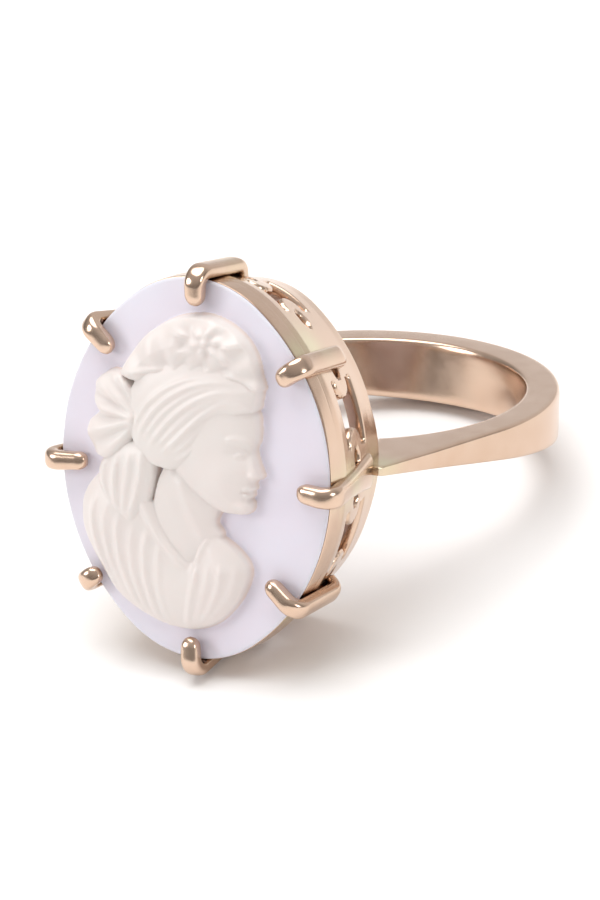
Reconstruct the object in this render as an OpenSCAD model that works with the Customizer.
// Cameo ring: an oval carved stone held by eight claws on a pierced gallery and a tapered band.
// Millimetres. The ring lies on its side on the floor, stone to the front, as it rests by itself.
// Inside the modules the ring is drawn upright on the finger: X across the stone, Y along the
// finger with the stone's top at +Y, Z away from the finger. The placing at the end lays it down.

/* [Finger and band] */
// inside radius of the band
finger_radius = 8.5; // [7:0.05:11]
// thickness of the band at the back of the finger
band_thickness = 1.75; // [1:0.05:2.5]
// width of the band along the finger at mid height
band_width = 2.04; // [1.4:0.02:3]
// how much wider the band gets for each mm away from the stone
band_flare = 0.144; // [0:0.004:0.2]
// lean of the straight shoulders, in degrees
shoulder_lean = 15.6; // [8:0.2:25]
// height of the shoulders' top over the finger's axis
shoulder_top = 11.0; // [10:0.1:12]
// half length of the gusset that spreads the band under the gallery
gusset_reach = 2.4; // [2:0.1:5]

/* [Gallery] */
// half width of the stone and of the gallery's rim
stone_half_width = 7.5; // [6:0.05:9]
// half length of the stone and of the gallery's rim
stone_half_length = 9.35; // [8:0.05:12]
// height of the gallery's foot over the finger's axis
gallery_foot = 9.2; // [9:0.1:11]
// height of the ledge that the stone sits on
seat_height = 14.7; // [13:0.1:16]
// height of the thin rim round the stone
rim_height = 15.5; // [14.8:0.05:16]
// thickness of the gallery's wall
wall_thickness = 0.9; // [0.6:0.05:1.4]
// how far the rim stands out past the stone
rim_overhang = 0.16; // [0.1:0.02:0.4]
// how far the wall leans in from rim to foot
wall_taper = 1; // [0:0.05:2]
// width of the wide opening in the long side sectors
opening_width = 3.1; // [2:0.05:4]
// height of the wide opening
opening_height = 2.6; // [1.6:0.05:3.2]
// height of the openings' middle over the finger's axis
opening_middle = 12.2; // [11:0.05:13]
// radius of the round tongues that reach into the wide opening
tongue_radius = 0.85; // [0.4:0.05:1.2]
// length along the rim of the leaf-shaped hole beside each claw
leaf_length = 0.9; // [0.5:0.05:1.2]
// height of the leaf-shaped hole beside each claw
leaf_height = 0.62; // [0.3:0.02:0.8]

/* [Claws] */
// width of the claw's bar
claw_width = 1.15; // [0.6:0.05:1.6]
// thickness of the claw's bar
claw_thickness = 0.74; // [0.4:0.02:1]
// distance from the stone's edge to the middle of the bar where its bend starts
claw_stand_off = 0.53; // [0.48:0.01:1.2]
// radius of the claw's bend, along its middle
claw_bend = 0.6; // [0.5:0.02:1.2]
// height of the bend's middle over the finger's axis
bend_up = 15.72; // [14:0.02:17]
// lean of the claws' legs, in degrees
claw_lean = 14.4; // [8:0.2:20]
// length of a claw's straight leg
claw_leg = 3.4; // [2:0.1:5]
// length of the leg of the two claws that run down to the shoulders
shoulder_leg = 5.9; // [3:0.1:6.5]
// how far the claw's tip reaches in over the stone, from the stone's edge
claw_reach = 1.15; // [0.6:0.05:2]

/* [Cameo] */
// clear gap between the stone and the metal
stone_gap = 0.04; // [0.02:0.01:0.1]
// thickness of the stone at its edge
stone_edge = 0.9; // [0.6:0.05:1.5]
// rise of the ground from the edge to the middle
ground_rise = 0.35; // [0:0.05:1]
// height of the cut edge all round the figure
relief_step = 0.42; // [0.1:0.02:0.8]
// further rise of the figure's highest parts
relief_rise = 0.95; // [0.4:0.05:1.4]

/* [Hidden] */
$fn = 96;

gold = [0.86, 0.68, 0.55];
shell = [0.93, 0.88, 0.87];

band_outer = finger_radius + band_thickness;
// The oval is four tangent arcs whose centres make right triangles with sides 3, 4 and 5, so that
// every length in it is a short decimal and neighbouring arcs meet exactly.
oval_unit = (stone_half_length - stone_half_width) / 2;
end_centre = 4 * oval_unit;
side_centre = 3 * oval_unit;
end_radius = stone_half_length - end_centre;
side_radius = stone_half_width + side_centre;
side_angle = atan2(4, 3);

// claws stand at eight even steps of the oval
claw_steps = [for (i = [0 : 7]) i * 45];
sector_steps = [for (i = [0 : 7]) i * 45 + 22.5];
bend_in = claw_bend * cos(claw_lean) - claw_stand_off;
tip_drop = 4;

// the ring rests on the band's lower back edge and on the foot of the lowest claw
band_edge = (band_width + band_flare * band_outer) / 2;
claw_outer = claw_bend + claw_thickness / 2;
foot_out = stone_half_length - bend_in + claw_outer * cos(claw_lean) - claw_leg * sin(claw_lean);
foot_up = bend_up - claw_outer * sin(claw_lean) - claw_leg * cos(claw_lean);
rest_tilt = atan2(foot_out - band_edge, foot_up + band_outer);
rest_height = band_outer * sin(rest_tilt) + band_edge * cos(rest_tilt);
// reach of the laid ring to the back and to the front of the finger's axis
back_reach = band_outer * cos(rest_tilt) + band_edge * sin(rest_tilt);
front_reach = bend_up * cos(rest_tilt) + (stone_half_length - bend_in) * sin(rest_tilt)
    + claw_outer;
rest_shift = (front_reach - back_reach) / 2;

// The way the oval's edge faces at an even step in degrees from its right end.
function facing(step) = atan2(sin(step) / stone_half_length, cos(step) / stone_half_width);
function arc_side(face) = abs(face) <= side_angle || abs(face) >= 180 - side_angle;
// The point of the oval, grown by so many mm, whose edge faces that way.
function oval_at(face, grow) = arc_side(face)
    ? [(cos(face) > 0 ? -side_centre : side_centre) + (side_radius + grow) * cos(face),
        (side_radius + grow) * sin(face)]
    : [(end_radius + grow) * cos(face),
        (sin(face) > 0 ? end_centre : -end_centre) + (end_radius + grow) * sin(face)];

// Sweeps a section round the oval: points are [outward from the stone's edge, height].
module oval_sweep(section) {
    for (side = [0, 180]) rotate([0, 0, side]) {
        arc_between([-side_centre, 0], side_radius, section, [18, -24], [18, 24]);
        arc_between([0, end_centre], end_radius, section, [18, 24], [-18, 24]);
    }
}

// The part of a turned section between two directions from its centre.
module arc_between(centre, radius, section, from, to) {
    translate([centre[0], centre[1], 0]) intersection() {
        rotate_extrude() polygon([for (p = section) [radius + p[0], p[1]]]);
        linear_extrude(height = 60, center = true) polygon([[0, 0], from, to]);
    }
}

// Stands its children on the oval's edge at a step, with X facing outward.
module on_edge(step) {
    face = facing(step);
    at = oval_at(face, 0);
    translate([at[0], at[1], 0]) rotate([0, 0, face]) children();
}

// The band: a round back, straight shoulders up to the gallery, wider toward the back.
module band() {
    // the shoulder's straight side starts a hair inside the round, so that the two cross cleanly
    start = band_outer - 0.03;
    foot_x = start * cos(shoulder_lean) + 0.4 * sin(shoulder_lean);
    foot_z = start * sin(shoulder_lean) - 0.4 * cos(shoulder_lean);
    top_x = foot_x - (shoulder_top - foot_z) * tan(shoulder_lean);
    slope = wall_taper / (seat_height - gallery_foot);
    inner_x = stone_half_width - wall_taper - wall_thickness * 0.6;
    intersection() {
        rotate([90, 0, 0]) linear_extrude(height = 12, center = true) union() {
            intersection() {
                circle(r = band_outer);
                translate([-20, -20]) square([40, 20 + foot_z + 1.6]);
            }
            for (side = [-1, 1]) polygon([
                [side * foot_x, foot_z], [side * top_x, shoulder_top],
                [side * (inner_x + slope * (shoulder_top - gallery_foot)), shoulder_top],
                [side * (inner_x - slope * (gallery_foot - 5.5)), 5.5],
                [side * (finger_radius - 0.6), foot_z - 0.1]]);
        }
        sides([[14, band_half(-14)], [-12, band_half(12)]]);
    }
}

// Half width of the band at a height over the finger's axis.
function band_half(height) = (band_width - band_flare * height) / 2;

// What lies between two slanted faces, alike on both sides: points are [depth, half width].
module sides(edge) {
    n = len(edge);
    rotate([0, 90, 0]) linear_extrude(height = 30, center = true) polygon(
        [for (i = [0 : 2 * n - 1]) i < n ? edge[i] : [edge[2 * n - 1 - i][0], -edge[2 * n - 1 - i][1]]]);
}

// The wall under the stone, leaning in toward the finger.
module gallery_wall() {
    slope = wall_taper / (seat_height - gallery_foot);
    low = 5.2;
    low_in = -wall_taper - slope * (gallery_foot - low);
    oval_sweep([
        [rim_overhang, rim_height], [rim_overhang, seat_height - 0.5],
        [-wall_taper, gallery_foot], [-wall_taper - wall_thickness, gallery_foot],
        [-wall_thickness, seat_height], [0, seat_height], [0, rim_height]]);
    // under the foot a thinner wall runs on to the finger, only where the gusset is
    intersection() {
        oval_sweep([
            [-wall_taper - 0.12, gallery_foot + 0.25], [low_in - 0.12, low],
            [low_in - wall_thickness + 0.12, low], [-wall_taper - wall_thickness + 0.14, gallery_foot + 0.25]]);
        sides([[-5, band_half(5)], [-8.5, band_half(8.5)], [-9, gusset_reach],
            [-gallery_foot - 0.5, gusset_reach * 1.3]]);
    }
}

// One wide opening with round tongues from both ends, and a leaf-shaped hole at each side of it.
module pierced(width) {
    difference() {
        square([width, opening_height], center = true);
        for (side = [-1, 1]) translate([side * width / 2, 0.1]) circle(r = tongue_radius);
    }
    leaf_arc = (pow(leaf_length / 2, 2) + pow(leaf_height / 2, 2)) / leaf_height;
    for (side = [-1, 1]) translate([side * (width / 2 + 0.55), 0.1]) intersection() {
        translate([0, leaf_arc - leaf_height / 2]) circle(r = leaf_arc);
        translate([0, leaf_height / 2 - leaf_arc]) circle(r = leaf_arc);
    }
}

// One claw: a flat bar with a leaning leg, a bend and a round tip over the stone.
module claw(leg) {
    inner = claw_bend - claw_thickness / 2;
    tip = claw_reach - bend_in - claw_thickness / 2;
    rotate([90, 0, 0]) linear_extrude(height = claw_width, center = true)
        translate([-bend_in, bend_up]) {
            rotate(-claw_lean) translate([inner, -leg]) square([claw_thickness, leg]);
            difference() {
                circle(r = claw_outer);
                circle(r = inner);
                rotate(-claw_lean) translate([-9, -18]) square([18, 18]);
                rotate(tip_drop) translate([-9, -9]) square([9, 18]);
            }
            rotate(tip_drop) {
                translate([-tip, inner]) square([tip, claw_thickness]);
                translate([-tip, claw_bend]) circle(r = claw_thickness / 2);
            }
        }
}

// Band, gallery and claws are soldered together into one piece.
module mount_upright() {
    difference() {
        union() {
            band();
            difference() {
                gallery_wall();
                for (i = [0 : 7]) on_edge(sector_steps[i])
                    translate([-3, 0, opening_middle]) rotate([90, 0, 90])
                        linear_extrude(height = 6)
                            pierced(i % 4 == 0 || i % 4 == 3 ? opening_width : opening_width * 0.74);
            }
            for (step = claw_steps) on_edge(step) claw(step % 180 == 0 ? shoulder_leg : claw_leg);
        }
        rotate([90, 0, 0]) cylinder(r = finger_radius, h = 60, center = true);
    }
}

// The cameo's figure, a bust looking right. Rows go round its outline from the right shoulder,
// counterclockwise: x, y in shares of the stone's half width and half length.
outline = [
    [0.50, -0.62], [0.48, -0.47], [0.33, -0.37], [0.15, -0.27], [0.14, -0.17], [0.28, -0.15],
    [0.44, -0.12], [0.46, -0.06], [0.46, 0.01], [0.50, 0.05], [0.59, 0.12], [0.54, 0.20],
    [0.50, 0.30], [0.53, 0.38], [0.50, 0.52], [0.47, 0.62], [0.38, 0.76], [0.20, 0.83],
    [-0.03, 0.85], [-0.22, 0.80], [-0.36, 0.68], [-0.47, 0.56], [-0.58, 0.47], [-0.76, 0.38],
    [-0.82, 0.24], [-0.76, 0.08], [-0.66, -0.04], [-0.70, -0.14], [-0.82, -0.24], [-0.80, -0.34],
    [-0.72, -0.46], [-0.56, -0.60], [-0.42, -0.74], [-0.22, -0.83], [0.00, -0.85], [0.24, -0.80]];
middle = [-0.2, -0.14];
// mounds: x, y, half width, half length, turn in degrees and height, as shares of relief_rise
mounds = [
    [0.18, 0.22, 0.38, 0.34, 0, 0.82],     // face
    [-0.08, 0.46, 0.54, 0.40, 25, 1.00],   // hair over the brow
    [0.05, 0.71, 0.44, 0.20, 0, 0.86],     // cap
    [0.25, 0.64, 0.18, 0.13, -30, 1.10],   // flower on the cap
    [-0.58, 0.22, 0.30, 0.26, 15, 0.80],   // bow at the nape
    [-0.10, -0.16, 0.30, 0.30, -10, 0.58], // neck
    [-0.52, -0.46, 0.44, 0.48, 20, 0.92],  // left shoulder
    [0.20, -0.60, 0.38, 0.36, -25, 0.86],  // right shoulder
    [-0.18, -0.70, 0.60, 0.36, 0, 0.74]];  // breast

part_steps = 3;
rings = 16;
points_round = len(outline) * part_steps;
function spot(i) = let (k = floor(i / part_steps), t = (i % part_steps) / part_steps,
        n = len(outline), p0 = outline[(k + n - 1) % n], p1 = outline[k % n],
        p2 = outline[(k + 1) % n], p3 = outline[(k + 2) % n])
    (2 * p1 + (p2 - p0) * t + (2 * p0 - 5 * p1 + 4 * p2 - p3) * t * t
        + (3 * p1 - p0 - 3 * p2 + p3) * t * t * t) / 2;
function in_mm(share) = [share[0] * stone_half_width, share[1] * stone_half_length];
function mound(m, p) = let (q = p - [m[0], m[1]],
        u = (q[0] * cos(m[4]) + q[1] * sin(m[4])) / m[2],
        v = (q[1] * cos(m[4]) - q[0] * sin(m[4])) / m[3])
    m[5] * sqrt(max(0, 1 - u * u - v * v));
function folds(p) = p[1] < -0.2 ? 0.05 * sin(900 * p[0] + 420 * p[1])
    : norm(p - [-0.58, 0.22]) < 0.3 ? 0.05 * sin(9 * atan2(p[1] - 0.22, p[0] + 0.58)) : 0;
function figure(p, share) = relief_step + relief_rise * 0.9
    * (max([for (m = mounds) mound(m, p)]) + folds(p)) * sqrt(1 - pow(share, 6));
function ground(p) = seat_height + stone_gap + stone_edge
    + ground_rise * max(0, 1 - p[0] * p[0] - p[1] * p[1]);

// rings of the figure from its middle out, then of the ground out to the stone's edge
function figure_ring(share) = [for (i = [0 : points_round - 1])
    let (p = middle + share * (spot(i) - middle), q = in_mm(p))
    [q[0], q[1], ground(p) + figure(p, share)]];
function ground_ring(share) = [for (i = [0 : points_round - 1])
    let (a = in_mm(spot(i)), b = edge_at(i, 0.3), q = a + share * (b - a),
        p = [q[0] / stone_half_width, q[1] / stone_half_length])
    [q[0], q[1], ground(p)]];
function edge_ring(inset, height) = [for (i = [0 : points_round - 1])
    let (b = edge_at(i, inset)) [b[0], b[1], height]];
// where the line from the middle through a point of the outline meets the stone's edge
function edge_at(i, inset) = let (way = spot(i) - middle, a = way * way, b = middle * way,
        reach = (sqrt(b * b - a * (middle * middle - 1)) - b) / a, p = middle + reach * way)
    oval_at(facing(atan2(p[1], p[0])), -inset - stone_gap);

module cameo_upright() {
    low = seat_height + stone_gap;
    all_rings = concat(
        [for (k = [1 : rings]) figure_ring(k / rings)],
        [for (share = [0, 0.34, 0.68, 1]) ground_ring(share)],
        [edge_ring(0.08, low + stone_edge - 0.12), edge_ring(0, low + stone_edge - 0.35),
            edge_ring(0.1, low)]);
    n = points_round;
    top = in_mm(middle);
    points = concat([for (ring = all_rings) each ring],
        [[top[0], top[1], ground(middle) + figure(middle, 0)], [0, 0, low]]);
    last = len(all_rings) - 1;
    polyhedron(points = points, faces = concat(
        [for (k = [0 : last - 1]) for (i = [0 : n - 1]) for (half = [0, 1])
            let (j = (i + 1) % n) half == 0
                ? [k * n + i, k * n + j, (k + 1) * n + j]
                : [k * n + i, (k + 1) * n + j, (k + 1) * n + i]],
        [for (i = [0 : n - 1]) [(last + 1) * n, (i + 1) % n, i]],
        [for (i = [0 : n - 1]) [(last + 1) * n + 1, last * n + i, last * n + (i + 1) % n]]));
}

// Lays the upright ring down on its side, its stone to the front and tilted up a little.
module laid_down() {
    translate([0, rest_shift, rest_height]) rotate([90 - rest_tilt, 0, 0]) children();
}

module mount() {
    color(gold) laid_down() mount_upright();
}

module cameo() {
    color(shell) laid_down() cameo_upright();
}

mount();
cameo();
